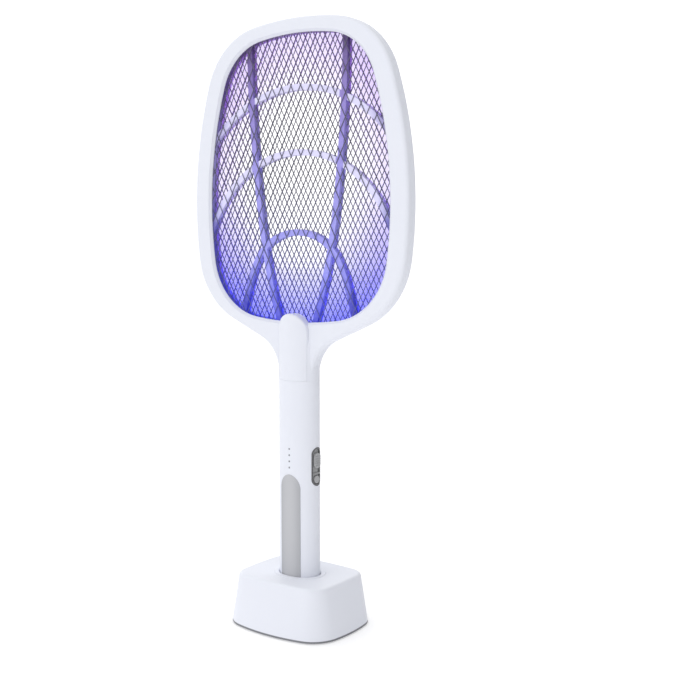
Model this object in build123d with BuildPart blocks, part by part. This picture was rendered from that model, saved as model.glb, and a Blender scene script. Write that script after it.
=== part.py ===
from build123d import *
import os
from math import hypot, sqrt

# An electric fly swatter standing in its charging dock.
# +Z is up, the front of the swatter faces -Y, and the origin is under the dock's centre, on the table.
# All lengths are millimetres.

os.makedirs("parts", exist_ok=True)

# Head: a rounded frame, broader low down, whose lower edges slope to the neck
HEAD_TOP_Z = 505.0
HEAD_WIDEST_Z = 353.5
FRAME_HALF_WIDTH = 111.0
FRAME_TOP_RADIUS = 279.0
FRAME_SIDE_RADIUS = 340.0
FRAME_SHOULDER_RADIUS = 64.0
FRAME_HIP_RADIUS = 67.0
HIP_SLOPE = 0.44
HIP_APEX_Z = 226.8
NECK_SWEEP_RADIUS = 33.0
NECK_PLATE_HALF_WIDTH = 17.6
OPENING_TOP_Z = 492.7
OPENING_BOTTOM_Z = 257.1
OPENING_HALF_WIDTH = 93.3
OPENING_TOP_RADIUS = 229.5
OPENING_SIDE_RADIUS = 332.0
OPENING_BOTTOM_RADIUS = 318.0
OPENING_SHOULDER_RADIUS = 51.0
OPENING_HIP_RADIUS = 55.4
FRAME_HALF_DEPTH = 6.5
FRAME_EDGE_RADIUS = 3.0
OPENING_BEVEL = 2.0
PARTING_CHAMFER = 0.25
FRAME_WALL = 2.2
LIP_THICKNESS = 2.75

# Grids: five flat layers clamped by their rims between the two frames
RIM_WIDTH = 4.0
RIM_CLEARANCE = 0.3
LOCATING_WALL = 1.2
SHEET_THICKNESS = 0.6
CELL_WIDTH = 10.0
CELL_HEIGHT = 19.0
STRAND_WIDTH = 0.5
LAYER_PITCH = 3.45

# Spacer ribs, as (x, z) points on the right half; each arch is (half span, foot z, crown z)
RIB_WIDTH = 5.0
LONG_RIB = ((49.5, 500.0), (48.0, 438.0), (44.0, 388.0), (34.5, 318.5), (16.0, 250.0))
WIDE_ARCHES = ((93.0, 406.0, 449.5), (97.0, 325.0, 397.0))
LOW_ARCH = ((60.0, 256.0), (50.0, 292.0), (34.5, 318.5))
LOW_ARCH_CROWN_Z = 331.5

# Neck and handle: one elliptical section from the bottom cap to the head
HANDLE_HALF_WIDTH = 18.7
HANDLE_HALF_DEPTH = 14.1
HANDLE_WALL = 2.2
HANDLE_BOTTOM_Z = 15.0
BOTTOM_CAP_HEIGHT = 4.0
NECK_SEAM_Z = 209.0
NECK_DOME_CENTRE_Z = 236.0
SPIGOT_LENGTH = 12.0
SPIGOT_WALL = 2.0
SEAM_GAP = 0.05
PART_FIT = 0.1

# Lamp housing: the tongue on the front of the neck
TONGUE_HALF_WIDTH = 14.8
TONGUE_TOP_Z = 264.7
TONGUE_WALL = 2.0
TONGUE_BACK_Y = -3.95
TONGUE_EDGE_RADIUS = 2.0
LAMP_FLOOR_THICKNESS = 1.5
LAMP_WINDOW_Z = 240.0
LAMP_WINDOW_WIDTH = 9.0
LAMP_WINDOW_HEIGHT = 8.0
LAMP_BOARD_Z = 244.0
LAMP_BOARD_WIDTH = 17.0
LAMP_BOARD_DEPTH = 5.2
LAMP_BOARD_MIDDLE_Y = -6.9
LAMP_BOARD_THICKNESS = 1.2
LED_X = 6.0
LED_Y = -7.4
LED_RADIUS = 1.5
LED_LENGTH = 4.0
LENS_LOW_Z = 246.0
LENS_THICKNESS = 1.0

# Front grip pad and charge indicators
PAD_HALF_WIDTH = 10.0
PAD_TOP_Z = 129.8
PAD_ARCH_HEIGHT = 12.0
PAD_STANDS_PROUD = 0.35
PAD_RECESS = 0.95
INDICATOR_TOP_Z = 151.6
INDICATOR_PITCH = 5.25
INDICATOR_COUNT = 4
INDICATOR_RADIUS = 0.8

# Switch panel on the +X side
SWITCH_CENTRE_Z = 136.65
SWITCH_LENGTH = 32.7
SWITCH_WIDTH = 11.5
BEZEL_PROUD = 0.3
BEZEL_RIM = 1.1
BEZEL_RECESS = 1.2
BEZEL_FLOOR_INSET = 3.2
BEZEL_FLANGE = 1.2
KNOB_CENTRE_Z = 141.75
KNOB_LENGTH = 12.5
KNOB_WIDTH = 7.4
KNOB_TRAVEL = 3.0
BUTTON_CENTRE_Z = 125.6
BUTTON_RADIUS = 3.3
MOVING_CLEARANCE = 0.3

# Electronics
PCB_FRONT_Y = 2.2
PCB_THICKNESS = 1.6
PCB_HALF_WIDTH = 9.8
PCB_BOTTOM_Z = 98.0
PCB_TOP_Z = 196.0
CELL_RADIUS = 9.2
CELL_LENGTH = 65.0
CELL_BOTTOM_Z = 27.0
TAB_THICKNESS = 0.3
TAB_WIDTH = 7.0
TAB_LENGTH = 14.0
TRANSFORMER_Z = 184.0
DIODE_RADIUS = 1.3
LED_CHIP_HEIGHT = 0.8
WIRE_RADIUS = 0.6
GRID_LEAD_RADIUS = 0.75
GRID_LEAD_X = 6.5
GRID_LEAD_TOP_Z = 253.0

# Fasteners
SCREW_RADIUS = 1.0
SCREW_HEAD_RADIUS = 1.9
SCREW_HEAD_HEIGHT = 1.4
BOSS_RADIUS = 2.4
HANDLE_BOSS_X = 12.6
HANDLE_BOSS_DEPTH = 8.0
HANDLE_SCREW_HEIGHTS = (30.0, 95.0, 170.0)

# Charging dock
DOCK_HEIGHT = 43.0
DOCK_GAP = 1.0
DOCK_WALL = 2.4
DOCK_TOP_EDGE_RADIUS = 3.3
FOOT_RADIUS = 5.0
FOOT_HEIGHT = 1.5
BASE_PLATE_THICKNESS = 2.0
BASE_PLATE_INSET = 3.4
DOCK_BOSS_X = 36.0
DOCK_BOSS_Y = 26.0
SOCKET_CLEARANCE = 0.5
SOCKET_WALL = 1.8
SOCKET_FLOOR = 2.0
COLLAR_REACH = 5.0
COLLAR_THICKNESS = 1.5
COLLAR_PROUD = 0.3
DOCK_PCB_Z = 4.5
PIN_OFFSET_X = 6.0
PIN_RADIUS = 1.0
PIN_TRAVEL = 1.2
STUD_RADIUS = 2.6
STUD_FLANGE_RADIUS = 3.4
STUD_FLANGE_THICKNESS = 1.0
SPRING_RADIUS = 1.3
SPRING_WIRE_RADIUS = 0.15


def save(builder, name):
    """Label a finished piece and write it as its own STEP file."""
    builder.part.label = name
    export_step(builder.part, f"parts/{name}.step")


def bulging_sides(half_width, side_radius, growth):
    """Cut the open sketch to two wide arcs that bulge outwards at the head's widest level."""
    for side in (-1, 1):
        with Locations((side * (half_width - side_radius), HEAD_WIDEST_Z)):
            Circle(side_radius + growth, mode=Mode.INTERSECT)


def front_slab(outline, near_y, far_y, mode=Mode.ADD):
    """Extrude a front-view outline between two depths, in the open part."""
    placed = Plane.XZ.offset(-far_y) * outline
    extrude(placed, amount=far_y - near_y, mode=mode)


def wall_patch(outline, view, outer, inner, low_z, high_z):
    """A patch of the elliptical handle wall between two offsets, cut to an outline seen from one side."""
    with BuildPart() as patch:
        with BuildSketch(Plane.XY.offset(low_z)):
            Ellipse(HANDLE_HALF_WIDTH + outer, HANDLE_HALF_DEPTH + outer)
            Ellipse(HANDLE_HALF_WIDTH + inner, HANDLE_HALF_DEPTH + inner, mode=Mode.SUBTRACT)
        extrude(amount=high_z - low_z)
        with BuildSketch(view):
            add(outline)
        extrude(amount=2 * HANDLE_HALF_WIDTH, mode=Mode.INTERSECT)
    return patch.part


def wire(points, bend_radius, radius=WIRE_RADIUS):
    """A round insulated wire along straight runs joined by tangent arcs."""
    with BuildPart() as lead:
        with BuildLine() as route:
            FilletPolyline(*points, radius=bend_radius)
        with BuildSketch(Plane(origin=route.line @ 0, z_dir=route.line % 0)):
            Circle(radius)
        sweep()
    return lead.part


# ---------------------------------------------------------------- outlines

def plate_shape(growth=0.0):
    """The head frame with its sloping hips and its neck, seen from the front, grown by one distance."""
    with BuildSketch() as shape:
        with Locations((0, HEAD_TOP_Z - FRAME_TOP_RADIUS)):
            Circle(FRAME_TOP_RADIUS + growth)
        bulging_sides(FRAME_HALF_WIDTH, FRAME_SIDE_RADIUS, growth)
        apex_z = HIP_APEX_Z - growth * sqrt(1 + HIP_SLOPE**2)
        hip_z = apex_z + HIP_SLOPE * FRAME_SIDE_RADIUS
        Polygon(
            (0, apex_z),
            (FRAME_SIDE_RADIUS, hip_z),
            (FRAME_SIDE_RADIUS, 2 * HEAD_TOP_Z),
            (-FRAME_SIDE_RADIUS, 2 * HEAD_TOP_Z),
            (-FRAME_SIDE_RADIUS, hip_z),
            align=None,
            mode=Mode.INTERSECT,
        )
        fillet(shape.vertices().group_by(Axis.Y)[-1], FRAME_SHOULDER_RADIUS + growth)
        fillet(shape.vertices().group_by(Axis.Y)[1], FRAME_HIP_RADIUS + growth)
        neck_half_width = NECK_PLATE_HALF_WIDTH + growth
        with Locations((0, NECK_SEAM_Z - growth)):
            Rectangle(
                2 * neck_half_width,
                OPENING_BOTTOM_Z - NECK_SEAM_Z,
                align=(Align.CENTER, Align.MIN),
            )
        neck_corners = shape.vertices().filter_by(
            lambda v: abs(abs(v.X) - neck_half_width) < 0.01 and v.Y > NECK_SEAM_Z + 5
        )
        fillet(neck_corners, NECK_SWEEP_RADIUS - growth)
    return shape.sketch


def opening_shape(growth=0.0):
    """The opening that the grids show through, seen from the front, grown by one distance."""
    with BuildSketch() as shape:
        with Locations((0, OPENING_TOP_Z - OPENING_TOP_RADIUS)):
            Circle(OPENING_TOP_RADIUS + growth)
        bulging_sides(OPENING_HALF_WIDTH, OPENING_SIDE_RADIUS, growth)
        with Locations((0, OPENING_BOTTOM_Z + OPENING_BOTTOM_RADIUS)):
            Circle(OPENING_BOTTOM_RADIUS + growth, mode=Mode.INTERSECT)
        fillet(shape.vertices().group_by(Axis.Y)[-1], OPENING_SHOULDER_RADIUS + growth)
        fillet(shape.vertices().group_by(Axis.Y)[0], OPENING_HIP_RADIUS + growth)
    return shape.sketch


plate_outline = plate_shape()
hollow_outline = plate_shape(-FRAME_WALL)
opening_outline = opening_shape()
rim_outline = opening_shape(RIM_WIDTH)
rim_pocket = opening_shape(RIM_WIDTH + RIM_CLEARANCE)
locating_outline = opening_shape(RIM_WIDTH + RIM_CLEARANCE + LOCATING_WALL)


def arched(half_width, low_z, top_z, arch_height):
    """A flat-bottomed outline with straight sides and a rounded top, seen from the front."""
    with BuildSketch() as arch:
        spring_z = top_z - arch_height
        with Locations((0, low_z)):
            Rectangle(2 * half_width, spring_z - low_z, align=(Align.CENTER, Align.MIN))
        with Locations((0, spring_z)):
            Ellipse(half_width, arch_height)
        with Locations((0, low_z)):
            Rectangle(
                3 * half_width,
                top_z - low_z,
                align=(Align.CENTER, Align.MIN),
                mode=Mode.INTERSECT,
            )
    return arch.sketch


def pill(growth):
    """The switch panel's upright pill outline, seen from the side."""
    with BuildSketch() as shape:
        with Locations((0, SWITCH_CENTRE_Z)):
            SlotOverall(SWITCH_LENGTH + 2 * growth, SWITCH_WIDTH + 2 * growth, rotation=90)
    return shape.sketch


def head_screw_points():
    """Ten screws round the frame: shoulders, sides, hips and beside the neck, on both sides."""
    pocket_start = RIM_WIDTH + RIM_CLEARANCE + LOCATING_WALL
    points = []
    for height in (400.0, 310.0):
        drop = height - HEAD_WIDEST_Z
        inner = OPENING_HALF_WIDTH - drop**2 / (2 * OPENING_SIDE_RADIUS) + pocket_start
        outer = FRAME_HALF_WIDTH - drop**2 / (2 * FRAME_SIDE_RADIUS) - FRAME_WALL
        points.append(((inner + outer) / 2, height))
    points += [(72.0, 482.0), (80.4, 269.7), (31.0, 248.0)]
    return [(side * x, z) for x, z in points for side in (-1, 1)]


HEAD_SCREWS = head_screw_points()

# ------------------------------------------------------- head frame halves

# One half of the hollow head frame with its half of the neck; front and rear start from it
with BuildPart() as frame_blank:
    with BuildSketch(Plane.XZ):
        add(plate_outline)
        add(opening_outline, mode=Mode.SUBTRACT)
    extrude(amount=FRAME_HALF_DEPTH)
    front_face = frame_blank.faces().sort_by(Axis.Y)[0]
    fillet(front_face.outer_wire().edges(), FRAME_EDGE_RADIUS)
    bevel_face = frame_blank.faces().filter_by(Axis.Y).sort_by(Axis.Y)[0]
    chamfer(bevel_face.inner_wires()[0].edges(), OPENING_BEVEL)
    parting_face = frame_blank.faces().sort_by(Axis.Y)[-1]
    chamfer(parting_face.outer_wire().edges(), PARTING_CHAMFER)


def domed_half_column(half_width, half_depth):
    """The front half of the neck's elliptical column, closed by a smooth dome."""
    with BuildPart() as dome:
        Sphere(1)
        scale(by=(half_width, half_depth, half_width))
    with BuildPart() as column:
        with BuildSketch(Plane.XY.offset(NECK_SEAM_Z)):
            Ellipse(half_width, half_depth)
        extrude(amount=NECK_DOME_CENTRE_Z - NECK_SEAM_Z)
        add(dome.part.moved(Location((0, 0, NECK_DOME_CENTRE_Z))))
        split(bisect_by=Plane.XZ, keep=Keep.TOP)
    return column.part


neck_column = domed_half_column(HANDLE_HALF_WIDTH, HANDLE_HALF_DEPTH)
neck_hollow = domed_half_column(HANDLE_HALF_WIDTH - FRAME_WALL, HANDLE_HALF_DEPTH - FRAME_WALL)

with BuildPart() as neck_spigot:
    spigot_half_width = HANDLE_HALF_WIDTH - HANDLE_WALL - PART_FIT
    spigot_half_depth = HANDLE_HALF_DEPTH - HANDLE_WALL - PART_FIT
    with BuildSketch(Plane.XY.offset(NECK_SEAM_Z - SPIGOT_LENGTH)):
        Ellipse(spigot_half_width, spigot_half_depth)
    extrude(amount=SPIGOT_LENGTH)
    with BuildSketch(Plane.XY.offset(NECK_SEAM_Z)):
        Ellipse(HANDLE_HALF_WIDTH - SEAM_GAP, HANDLE_HALF_DEPTH - SEAM_GAP)
    extrude(amount=SPIGOT_WALL)
    with BuildSketch(Plane.XY.offset(NECK_SEAM_Z - SPIGOT_LENGTH)):
        Ellipse(spigot_half_width - SPIGOT_WALL, spigot_half_depth - SPIGOT_WALL)
    extrude(amount=SPIGOT_LENGTH + SPIGOT_WALL, mode=Mode.SUBTRACT)
    split(bisect_by=Plane.XZ, keep=Keep.TOP)

# The wall that locates the grids is notched where the two grid leads pass through it
LEAD_NOTCH_Z = OPENING_BOTTOM_Z - RIM_WIDTH - RIM_CLEARANCE - LOCATING_WALL / 2
LEAD_NOTCH_HEIGHT = LOCATING_WALL + 1.4
LEAD_NOTCH_WIDTH = 2 * GRID_LEAD_RADIUS + 0.7

with BuildPart() as frame_half:
    add(frame_blank.part)
    add(neck_column)
    front_slab(rim_pocket, -FRAME_HALF_DEPTH + LIP_THICKNESS, 0, mode=Mode.SUBTRACT)
    front_slab(
        hollow_outline - locating_outline,
        -FRAME_HALF_DEPTH + FRAME_WALL,
        0,
        mode=Mode.SUBTRACT,
    )
    add(neck_hollow, mode=Mode.SUBTRACT)
    add(neck_spigot.part)
    with BuildSketch(Plane.XZ):
        with Locations((-GRID_LEAD_X, LEAD_NOTCH_Z), (GRID_LEAD_X, LEAD_NOTCH_Z)):
            Rectangle(LEAD_NOTCH_WIDTH, LEAD_NOTCH_HEIGHT)
    extrude(amount=LAYER_PITCH + LEAD_NOTCH_WIDTH / 2, mode=Mode.SUBTRACT)
    with BuildSketch(Plane.XZ):
        with Locations(*HEAD_SCREWS):
            Circle(BOSS_RADIUS)
    extrude(amount=FRAME_HALF_DEPTH - FRAME_WALL / 2)

with BuildPart() as head_front_frame:
    add(frame_half.part)
    tongue_pocket = arched(
        TONGUE_HALF_WIDTH + PART_FIT,
        NECK_SEAM_Z - SPIGOT_LENGTH - 1,
        TONGUE_TOP_Z + PART_FIT,
        TONGUE_HALF_WIDTH + PART_FIT,
    )
    front_slab(tongue_pocket, -2 * HANDLE_HALF_DEPTH, TONGUE_BACK_Y, mode=Mode.SUBTRACT)
    floor_back_y = TONGUE_BACK_Y + LAMP_FLOOR_THICKNESS
    with BuildSketch(Plane.XZ.offset(-floor_back_y)):
        with Locations((0, NECK_SEAM_Z)):
            floor_height = OPENING_BOTTOM_Z - RIM_WIDTH - LOCATING_WALL - NECK_SEAM_Z
            Rectangle(2 * TONGUE_HALF_WIDTH + 3, floor_height, align=(Align.CENTER, Align.MIN))
        with Locations((0, LAMP_WINDOW_Z)):
            Rectangle(LAMP_WINDOW_WIDTH, LAMP_WINDOW_HEIGHT, mode=Mode.SUBTRACT)
    extrude(amount=LAMP_FLOOR_THICKNESS)
    with BuildSketch(Plane.XZ):
        with Locations(*HEAD_SCREWS):
            Circle(SCREW_RADIUS)
    extrude(amount=FRAME_HALF_DEPTH - FRAME_WALL, mode=Mode.SUBTRACT)
save(head_front_frame, "head_front_frame")

with BuildPart() as head_rear_frame:
    mirror(frame_half.part, about=Plane.XZ)
    head_seat_y = FRAME_HALF_DEPTH - SCREW_HEAD_HEIGHT - 0.4
    with BuildSketch(Plane.XZ):
        with Locations(*HEAD_SCREWS):
            Circle(SCREW_RADIUS + PART_FIT)
    extrude(amount=-FRAME_HALF_DEPTH, mode=Mode.SUBTRACT)
    with BuildSketch(Plane.XZ.offset(-head_seat_y)):
        with Locations(*HEAD_SCREWS):
            Circle(SCREW_HEAD_RADIUS + PART_FIT)
    extrude(amount=-FRAME_HALF_DEPTH, mode=Mode.SUBTRACT)
save(head_rear_frame, "head_rear_frame")

with BuildPart() as head_screws:
    with BuildSketch(Plane.XZ.offset(-head_seat_y)):
        with Locations(*HEAD_SCREWS):
            Circle(SCREW_HEAD_RADIUS)
    extrude(amount=-SCREW_HEAD_HEIGHT)
    with BuildSketch(Plane.XZ.offset(FRAME_HALF_DEPTH - FRAME_WALL - 0.5)):
        with Locations(*HEAD_SCREWS):
            Circle(SCREW_RADIUS - SEAM_GAP)
    extrude(amount=-(head_seat_y + FRAME_HALF_DEPTH - FRAME_WALL - 0.5))
save(head_screws, "head_screws")

# -------------------------------------------------------------- grid layers

opening_face = opening_outline.faces()[0]


def diamond_cells(shift):
    """The openings of one expanded-metal sheet, as closed wires clipped to the frame's opening."""
    side = hypot(CELL_WIDTH, CELL_HEIGHT)
    shrink = 1 - STRAND_WIDTH * side / (CELL_WIDTH * CELL_HEIGHT)
    half_w = shrink * CELL_WIDTH / 2
    half_h = shrink * CELL_HEIGHT / 2
    with BuildSketch(mode=Mode.PRIVATE) as cell:
        Polygon((half_w, 0), (0, half_h), (-half_w, 0), (0, -half_h), align=None)
    middle_z = (OPENING_TOP_Z + OPENING_BOTTOM_Z) / 2
    rows = int((OPENING_TOP_Z - OPENING_BOTTOM_Z) / CELL_HEIGHT) + 3
    columns = int(OPENING_HALF_WIDTH / CELL_WIDTH) + 2
    wires = []
    for row in range(-rows, rows + 1):
        for column in range(-columns, columns + 1):
            x = shift + (column + (row % 2) / 2) * CELL_WIDTH
            z = middle_z + row * CELL_HEIGHT / 2
            placed = cell.sketch.moved(Location((x, z, 0))).faces()[0]
            inside = [opening_face.is_inside(v.center()) for v in placed.vertices()]
            if not any(inside):
                continue
            if all(inside):
                wires.append(placed.outer_wire())
                continue
            clipped = placed & opening_face
            wires += [face.outer_wire() for face in clipped.faces() if face.area > 1]
    return wires


def mesh_sheet(shift, middle_y):
    """One punched metal sheet: a lattice of thin strands inside a flat clamping rim."""
    sheet = Face(rim_outline.faces()[0].outer_wire(), diamond_cells(shift))
    placed = Plane.XZ.offset(-middle_y - SHEET_THICKNESS / 2) * sheet
    extrude(placed, amount=SHEET_THICKNESS)


with BuildPart() as front_guard_mesh:
    mesh_sheet(0, -LAYER_PITCH)
save(front_guard_mesh, "front_guard_mesh")

with BuildPart() as hv_grid:
    mesh_sheet(CELL_WIDTH / 4, 0)
save(hv_grid, "hv_grid")

with BuildPart() as rear_guard_mesh:
    mesh_sheet(0, LAYER_PITCH)
save(rear_guard_mesh, "rear_guard_mesh")


def rib_lines():
    """Two long ribs that draw together downwards and three arches across them, as one flat outline."""
    with BuildSketch() as ribs:
        for side in (-1, 1):
            with BuildLine() as long_rib:
                Spline(*[(side * x, z) for x, z in LONG_RIB])
            trace(long_rib.line, line_width=RIB_WIDTH)
        for half, foot_z, crown_z in WIDE_ARCHES:
            with BuildLine() as arch:
                ThreePointArc((-half, foot_z), (0, crown_z), (half, foot_z))
            trace(arch.line, line_width=RIB_WIDTH)
        left_foot = [(-x, z) for x, z in LOW_ARCH]
        right_foot = [(x, z) for x, z in reversed(LOW_ARCH)]
        with BuildLine() as low_arch:
            Spline(*left_foot, (0, LOW_ARCH_CROWN_Z), *right_foot)
        trace(low_arch.line, line_width=RIB_WIDTH)
        add(rim_outline, mode=Mode.INTERSECT)
    return ribs.sketch


spacer_outline = (rim_outline - opening_outline) + rib_lines()
spacer_half_gap = LAYER_PITCH - SHEET_THICKNESS / 2

with BuildPart() as front_spacer_frame:
    front_slab(spacer_outline, -spacer_half_gap, -SHEET_THICKNESS / 2)
save(front_spacer_frame, "front_spacer_frame")

with BuildPart() as rear_spacer_frame:
    front_slab(spacer_outline, SHEET_THICKNESS / 2, spacer_half_gap)
save(rear_spacer_frame, "rear_spacer_frame")

# ------------------------------------------------------------- lamp housing

tongue_outline = arched(TONGUE_HALF_WIDTH, NECK_SEAM_Z + SEAM_GAP, TONGUE_TOP_Z, TONGUE_HALF_WIDTH)
tongue_inner_half = TONGUE_HALF_WIDTH - TONGUE_WALL

# The tongue-shaped cover on the front of the neck, hollow behind its front wall
with BuildPart() as tongue_block:
    with BuildSketch(Plane.XY.offset(NECK_SEAM_Z + SEAM_GAP)):
        Ellipse(HANDLE_HALF_WIDTH, HANDLE_HALF_DEPTH)
    extrude(amount=TONGUE_TOP_Z - NECK_SEAM_Z)
    front_slab(tongue_outline, -HANDLE_HALF_DEPTH, TONGUE_BACK_Y, mode=Mode.INTERSECT)
    rim_edges = tongue_block.edges().filter_by(
        lambda e: e.center().Z > NECK_SEAM_Z + 1 and e.center().Y < TONGUE_BACK_Y - 1
    )
    fillet(rim_edges.filter_by(GeomType.LINE, reverse=True), TONGUE_EDGE_RADIUS)
with BuildPart() as lamp_cavity:
    with BuildSketch(Plane.XY.offset(NECK_SEAM_Z + TONGUE_WALL)):
        Ellipse(HANDLE_HALF_WIDTH - TONGUE_WALL, HANDLE_HALF_DEPTH - TONGUE_WALL)
    extrude(amount=TONGUE_TOP_Z - NECK_SEAM_Z)
    cavity_outline = arched(
        tongue_inner_half,
        NECK_SEAM_Z + TONGUE_WALL,
        TONGUE_TOP_Z - TONGUE_WALL,
        tongue_inner_half,
    )
    front_slab(cavity_outline, -HANDLE_HALF_DEPTH, TONGUE_BACK_Y, mode=Mode.INTERSECT)
with BuildPart() as lamp_cover:
    add(tongue_block.part)
    add(lamp_cavity.part, mode=Mode.SUBTRACT)
save(lamp_cover, "lamp_cover")

# A clear window across the back of the tongue's dome, facing the grids
with BuildPart() as lamp_lens:
    lens_half = tongue_inner_half - PART_FIT
    front_slab(
        arched(lens_half, LENS_LOW_Z, TONGUE_TOP_Z - TONGUE_WALL - PART_FIT, lens_half),
        TONGUE_BACK_Y - LENS_THICKNESS,
        TONGUE_BACK_Y,
    )
save(lamp_lens, "lamp_lens")

with BuildPart() as uv_led_board:
    with BuildSketch(Plane.XY.offset(LAMP_BOARD_Z)):
        with Locations((0, LAMP_BOARD_MIDDLE_Y)):
            Rectangle(LAMP_BOARD_WIDTH, LAMP_BOARD_DEPTH)
    extrude(amount=LAMP_BOARD_THICKNESS)
save(uv_led_board, "uv_led_board")

with BuildPart() as uv_leds:
    with BuildSketch(Plane.XY.offset(LAMP_BOARD_Z + LAMP_BOARD_THICKNESS)):
        with Locations((-LED_X, LED_Y), (0, LED_Y), (LED_X, LED_Y)):
            Circle(LED_RADIUS)
    extrude(amount=LED_LENGTH)
    fillet(uv_leds.faces().sort_by(Axis.Z)[-3:].edges(), LED_RADIUS * 0.9)
save(uv_leds, "uv_leds")

# ------------------------------------------------------------ handle shells

SHELL_BOTTOM_Z = HANDLE_BOTTOM_Z + BOTTOM_CAP_HEIGHT + SEAM_GAP
pad_outline = arched(PAD_HALF_WIDTH, SHELL_BOTTOM_Z, PAD_TOP_Z, PAD_ARCH_HEIGHT)
pad_pocket_outline = arched(
    PAD_HALF_WIDTH + SEAM_GAP,
    SHELL_BOTTOM_Z - 1,
    PAD_TOP_Z + SEAM_GAP,
    PAD_ARCH_HEIGHT + SEAM_GAP,
)
pad_pocket = wall_patch(
    pad_pocket_outline,
    Plane.XZ,
    2.0,
    -PAD_RECESS - SEAM_GAP,
    SHELL_BOTTOM_Z - 1,
    PAD_TOP_Z + 1,
)
HANDLE_SCREWS = [(side * HANDLE_BOSS_X, z) for z in HANDLE_SCREW_HEIGHTS for side in (-1, 1)]
INDICATOR_HEIGHTS = [INDICATOR_TOP_Z - i * INDICATOR_PITCH for i in range(INDICATOR_COUNT)]
HANDLE_SEAT_Y = 5.0

# One half of the handle tube, split down its sides, with screw bosses and the switch cut-out
with BuildPart() as shell_half:
    with BuildSketch(Plane.XY.offset(SHELL_BOTTOM_Z)):
        Ellipse(HANDLE_HALF_WIDTH, HANDLE_HALF_DEPTH)
        Ellipse(
            HANDLE_HALF_WIDTH - HANDLE_WALL,
            HANDLE_HALF_DEPTH - HANDLE_WALL,
            mode=Mode.SUBTRACT,
        )
    extrude(amount=NECK_SEAM_Z - SEAM_GAP - SHELL_BOTTOM_Z)
    split(bisect_by=Plane.XZ, keep=Keep.TOP)
    with BuildSketch(Plane.XZ):
        with Locations(*HANDLE_SCREWS):
            Circle(BOSS_RADIUS)
    extrude(amount=HANDLE_BOSS_DEPTH)
    with BuildSketch(Plane.YZ):
        add(pill(SEAM_GAP))
    extrude(amount=2 * HANDLE_HALF_WIDTH, mode=Mode.SUBTRACT)

with BuildPart() as handle_front_shell:
    add(shell_half.part)
    add(pad_pocket, mode=Mode.SUBTRACT)
    with BuildSketch(Plane.XZ):
        with Locations(*[(0, z) for z in INDICATOR_HEIGHTS]):
            Circle(INDICATOR_RADIUS + SEAM_GAP)
    extrude(amount=HANDLE_HALF_DEPTH, mode=Mode.SUBTRACT)
    with BuildSketch(Plane.XZ):
        with Locations(*HANDLE_SCREWS):
            Circle(SCREW_RADIUS)
    extrude(amount=HANDLE_BOSS_DEPTH - 1.5, mode=Mode.SUBTRACT)
save(handle_front_shell, "handle_front_shell")

with BuildPart() as handle_rear_shell:
    mirror(shell_half.part, about=Plane.XZ)
    with BuildSketch(Plane.XZ):
        with Locations(*HANDLE_SCREWS):
            Circle(SCREW_RADIUS + PART_FIT)
    extrude(amount=-HANDLE_HALF_DEPTH, mode=Mode.SUBTRACT)
    with BuildSketch(Plane.XZ.offset(-HANDLE_SEAT_Y)):
        with Locations(*HANDLE_SCREWS):
            Circle(SCREW_HEAD_RADIUS + PART_FIT)
    extrude(amount=-HANDLE_HALF_DEPTH, mode=Mode.SUBTRACT)
save(handle_rear_shell, "handle_rear_shell")

with BuildPart() as handle_screws:
    with BuildSketch(Plane.XZ.offset(-HANDLE_SEAT_Y)):
        with Locations(*HANDLE_SCREWS):
            Circle(SCREW_HEAD_RADIUS)
    extrude(amount=-SCREW_HEAD_HEIGHT)
    with BuildSketch(Plane.XZ.offset(HANDLE_BOSS_DEPTH - 2.0)):
        with Locations(*HANDLE_SCREWS):
            Circle(SCREW_RADIUS - SEAM_GAP)
    extrude(amount=-(HANDLE_BOSS_DEPTH - 2.0 + HANDLE_SEAT_Y))
save(handle_screws, "handle_screws")

pad_patch = wall_patch(
    pad_outline,
    Plane.XZ,
    PAD_STANDS_PROUD,
    -PAD_RECESS,
    SHELL_BOTTOM_Z,
    PAD_TOP_Z + 1,
)
with BuildPart() as grip_pad:
    add(pad_patch)
save(grip_pad, "grip_pad")

STUD_POSITIONS = [(-PIN_OFFSET_X, 0), (PIN_OFFSET_X, 0)]

# The foot of the handle: a plug with two charging studs flush with its underside
with BuildPart() as handle_bottom_cap:
    with BuildSketch(Plane.XY.offset(HANDLE_BOTTOM_Z)):
        Ellipse(HANDLE_HALF_WIDTH, HANDLE_HALF_DEPTH)
    extrude(amount=BOTTOM_CAP_HEIGHT)
    fillet(handle_bottom_cap.edges().group_by(Axis.Z)[0], 1.2)
    with BuildSketch(Plane.XY.offset(HANDLE_BOTTOM_Z + BOTTOM_CAP_HEIGHT)):
        Ellipse(
            HANDLE_HALF_WIDTH - HANDLE_WALL - PART_FIT,
            HANDLE_HALF_DEPTH - HANDLE_WALL - PART_FIT,
        )
        Ellipse(HANDLE_HALF_WIDTH - 2 * HANDLE_WALL, HANDLE_HALF_DEPTH - 2 * HANDLE_WALL, mode=Mode.SUBTRACT)
    extrude(amount=BOTTOM_CAP_HEIGHT)
    with BuildSketch(Plane.XY.offset(HANDLE_BOTTOM_Z)):
        with Locations(*STUD_POSITIONS):
            Circle(STUD_RADIUS)
    extrude(amount=BOTTOM_CAP_HEIGHT, mode=Mode.SUBTRACT)
save(handle_bottom_cap, "handle_bottom_cap")

with BuildPart() as contact_studs:
    with BuildSketch(Plane.XY.offset(HANDLE_BOTTOM_Z)):
        with Locations(*STUD_POSITIONS):
            Circle(STUD_RADIUS - SEAM_GAP)
    extrude(amount=BOTTOM_CAP_HEIGHT)
    with BuildSketch(Plane.XY.offset(HANDLE_BOTTOM_Z + BOTTOM_CAP_HEIGHT)):
        with Locations(*STUD_POSITIONS):
            Circle(STUD_FLANGE_RADIUS)
    extrude(amount=STUD_FLANGE_THICKNESS)
save(contact_studs, "contact_studs")

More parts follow.
